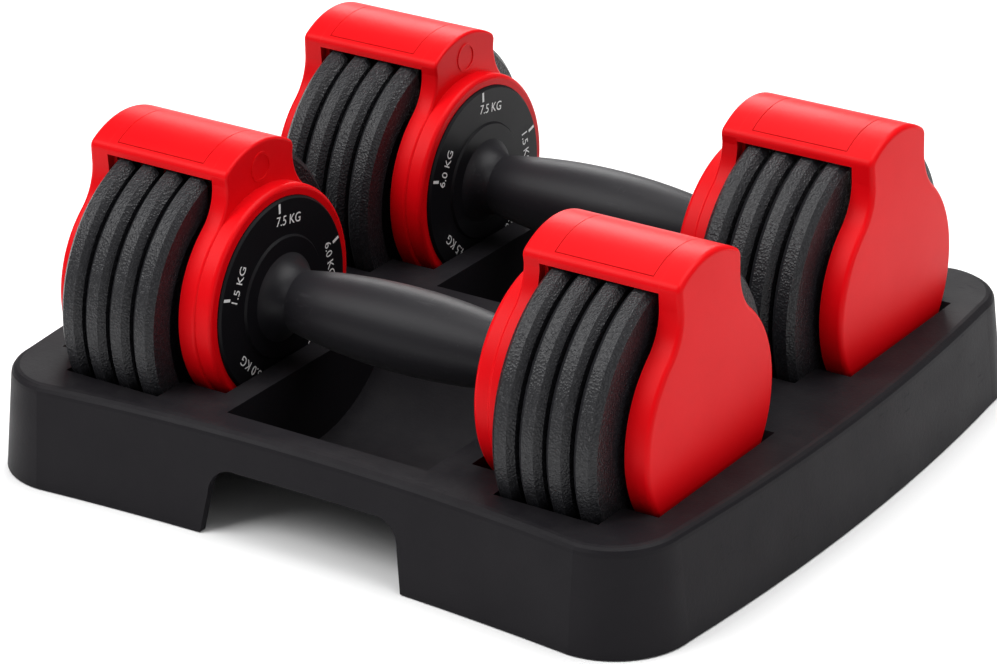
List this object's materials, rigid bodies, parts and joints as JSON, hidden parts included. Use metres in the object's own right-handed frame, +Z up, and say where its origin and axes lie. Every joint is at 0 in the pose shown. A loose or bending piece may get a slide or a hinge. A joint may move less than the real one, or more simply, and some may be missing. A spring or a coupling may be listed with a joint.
{
  "type": "adjustable dumbbell set",
  "caption": "Pair of adjustable dumbbells with twist-grip weight selection, round plates under red arched covers and a shared black moulded storage tray.",
  "frame": {"origin": "middle of the tray's footprint, on the surface it stands on", "axes": "+X along the dumbbell handles, +Y from the front dumbbell to the back one, +Z up"},
  "size_m": [0.4066, 0.374, 0.1645],
  "materials": {
    "red_shell": "satin moulded red with a fine sheen",
    "plate_coat": "dark textured coat on cast iron",
    "grip_rubber": "soft matt black",
    "dial_plastic": "matt black with a white printed scale",
    "tray_plastic": "matt black moulded with a fine grain",
    "foot_rubber": "matt black",
    "plated_steel": "bright zinc plate",
    "spring_steel": "bright drawn wire",
    "bush_plastic": "natural white acetal",
    "drum_metal": "die-cast, as cast"
  },
  "bodies": {
    "tray": {"tray": "tray_plastic", "tray_feet": "foot_rubber"},
    "front_frame": {"front_core_rod": "plated_steel", "front_bushes": "bush_plastic", "front_rod_nuts": "plated_steel", "front_housing_screws": "plated_steel", "front_lock_spring": "spring_steel", "front_left_inner_housing": "red_shell", "front_left_bridge": "red_shell", "front_left_top_panel": "red_shell", "front_left_end_cap": "red_shell", "front_right_inner_housing": "red_shell", "front_right_bridge": "red_shell", "front_right_top_panel": "red_shell", "front_right_end_cap": "red_shell"},
    "front_handle": {"front_grip": "grip_rubber", "front_handle_tube": "plated_steel", "front_left_dial": "dial_plastic", "front_left_selector_drum": "drum_metal", "front_right_dial": "dial_plastic", "front_right_selector_drum": "drum_metal"},
    "front_lock": {"front_lock_slider": "bush_plastic"},
    "front_left_plate_1": {"front_left_plate_1": "plate_coat"},
    "front_left_plate_2": {"front_left_plate_2": "plate_coat"},
    "front_left_plate_3": {"front_left_plate_3": "plate_coat"},
    "front_left_plate_4": {"front_left_plate_4": "plate_coat"},
    "front_right_plate_1": {"front_right_plate_1": "plate_coat"},
    "front_right_plate_2": {"front_right_plate_2": "plate_coat"},
    "front_right_plate_3": {"front_right_plate_3": "plate_coat"},
    "front_right_plate_4": {"front_right_plate_4": "plate_coat"},
    "back_frame": {"back_core_rod": "plated_steel", "back_bushes": "bush_plastic", "back_rod_nuts": "plated_steel", "back_housing_screws": "plated_steel", "back_lock_spring": "spring_steel", "back_left_inner_housing": "red_shell", "back_left_bridge": "red_shell", "back_left_top_panel": "red_shell", "back_left_end_cap": "red_shell", "back_right_inner_housing": "red_shell", "back_right_bridge": "red_shell", "back_right_top_panel": "red_shell", "back_right_end_cap": "red_shell"},
    "back_handle": {"back_grip": "grip_rubber", "back_handle_tube": "plated_steel", "back_left_dial": "dial_plastic", "back_left_selector_drum": "drum_metal", "back_right_dial": "dial_plastic", "back_right_selector_drum": "drum_metal"},
    "back_lock": {"back_lock_slider": "bush_plastic"},
    "back_left_plate_1": {"back_left_plate_1": "plate_coat"},
    "back_left_plate_2": {"back_left_plate_2": "plate_coat"},
    "back_left_plate_3": {"back_left_plate_3": "plate_coat"},
    "back_left_plate_4": {"back_left_plate_4": "plate_coat"},
    "back_right_plate_1": {"back_right_plate_1": "plate_coat"},
    "back_right_plate_2": {"back_right_plate_2": "plate_coat"},
    "back_right_plate_3": {"back_right_plate_3": "plate_coat"},
    "back_right_plate_4": {"back_right_plate_4": "plate_coat"}
  },
  "joints": [
    {"name": "front_lift", "type": "slide", "parent": "tray", "child": "front_frame", "axis": [0, 0, 1], "range_m": [0, 0.2]},
    {"name": "front_handle_turn", "type": "hinge", "parent": "front_frame", "child": "front_handle", "pos_m": [0, -0.0878, 0.085], "axis": [1, 0, 0], "range_deg": [0, 288]},
    {"name": "front_lock_drop", "type": "slide", "parent": "front_frame", "child": "front_lock", "axis": [0, 0, 1], "range_m": [-0.004, 0], "deforming": ["front_lock_spring"]},
    {"name": "front_left_plate_1_lift", "type": "slide", "parent": "tray", "child": "front_left_plate_1", "axis": [0, 0, 1], "range_m": [0, 0.2]},
    {"name": "front_left_plate_2_lift", "type": "slide", "parent": "tray", "child": "front_left_plate_2", "axis": [0, 0, 1], "range_m": [0, 0.2]},
    {"name": "front_left_plate_3_lift", "type": "slide", "parent": "tray", "child": "front_left_plate_3", "axis": [0, 0, 1], "range_m": [0, 0.2]},
    {"name": "front_left_plate_4_lift", "type": "slide", "parent": "tray", "child": "front_left_plate_4", "axis": [0, 0, 1], "range_m": [0, 0.2]},
    {"name": "front_right_plate_1_lift", "type": "slide", "parent": "tray", "child": "front_right_plate_1", "axis": [0, 0, 1], "range_m": [0, 0.2]},
    {"name": "front_right_plate_2_lift", "type": "slide", "parent": "tray", "child": "front_right_plate_2", "axis": [0, 0, 1], "range_m": [0, 0.2]},
    {"name": "front_right_plate_3_lift", "type": "slide", "parent": "tray", "child": "front_right_plate_3", "axis": [0, 0, 1], "range_m": [0, 0.2]},
    {"name": "front_right_plate_4_lift", "type": "slide", "parent": "tray", "child": "front_right_plate_4", "axis": [0, 0, 1], "range_m": [0, 0.2]},
    {"name": "back_lift", "type": "slide", "parent": "tray", "child": "back_frame", "axis": [0, 0, 1], "range_m": [0, 0.2]},
    {"name": "back_handle_turn", "type": "hinge", "parent": "back_frame", "child": "back_handle", "pos_m": [0, 0.0878, 0.085], "axis": [-1, 0, 0], "range_deg": [0, 288]},
    {"name": "back_lock_drop", "type": "slide", "parent": "back_frame", "child": "back_lock", "axis": [0, 0, 1], "range_m": [-0.004, 0], "deforming": ["back_lock_spring"]},
    {"name": "back_left_plate_1_lift", "type": "slide", "parent": "tray", "child": "back_left_plate_1", "axis": [0, 0, 1], "range_m": [0, 0.2]},
    {"name": "back_left_plate_2_lift", "type": "slide", "parent": "tray", "child": "back_left_plate_2", "axis": [0, 0, 1], "range_m": [0, 0.2]},
    {"name": "back_left_plate_3_lift", "type": "slide", "parent": "tray", "child": "back_left_plate_3", "axis": [0, 0, 1], "range_m": [0, 0.2]},
    {"name": "back_left_plate_4_lift", "type": "slide", "parent": "tray", "child": "back_left_plate_4", "axis": [0, 0, 1], "range_m": [0, 0.2]},
    {"name": "back_right_plate_1_lift", "type": "slide", "parent": "tray", "child": "back_right_plate_1", "axis": [0, 0, 1], "range_m": [0, 0.2]},
    {"name": "back_right_plate_2_lift", "type": "slide", "parent": "tray", "child": "back_right_plate_2", "axis": [0, 0, 1], "range_m": [0, 0.2]},
    {"name": "back_right_plate_3_lift", "type": "slide", "parent": "tray", "child": "back_right_plate_3", "axis": [0, 0, 1], "range_m": [0, 0.2]},
    {"name": "back_right_plate_4_lift", "type": "slide", "parent": "tray", "child": "back_right_plate_4", "axis": [0, 0, 1], "range_m": [0, 0.2]}
  ],
  "couplings": [
    {"joint": "front_lock_drop", "follows": "front_lift", "ratio": -0.02},
    {"joint": "front_left_plate_1_lift", "follows": "front_lift", "ratio": 1},
    {"joint": "front_left_plate_2_lift", "follows": "front_lift", "ratio": 1},
    {"joint": "front_left_plate_3_lift", "follows": "front_lift", "ratio": 1},
    {"joint": "front_left_plate_4_lift", "follows": "front_lift", "ratio": 1},
    {"joint": "front_right_plate_1_lift", "follows": "front_lift", "ratio": 1},
    {"joint": "front_right_plate_2_lift", "follows": "front_lift", "ratio": 1},
    {"joint": "front_right_plate_3_lift", "follows": "front_lift", "ratio": 1},
    {"joint": "front_right_plate_4_lift", "follows": "front_lift", "ratio": 1},
    {"joint": "back_lock_drop", "follows": "back_lift", "ratio": -0.02},
    {"joint": "back_left_plate_1_lift", "follows": "back_lift", "ratio": 1},
    {"joint": "back_left_plate_2_lift", "follows": "back_lift", "ratio": 1},
    {"joint": "back_left_plate_3_lift", "follows": "back_lift", "ratio": 1},
    {"joint": "back_left_plate_4_lift", "follows": "back_lift", "ratio": 1},
    {"joint": "back_right_plate_1_lift", "follows": "back_lift", "ratio": 1},
    {"joint": "back_right_plate_2_lift", "follows": "back_lift", "ratio": 1},
    {"joint": "back_right_plate_3_lift", "follows": "back_lift", "ratio": 1},
    {"joint": "back_right_plate_4_lift", "follows": "back_lift", "ratio": 1}
  ]
}
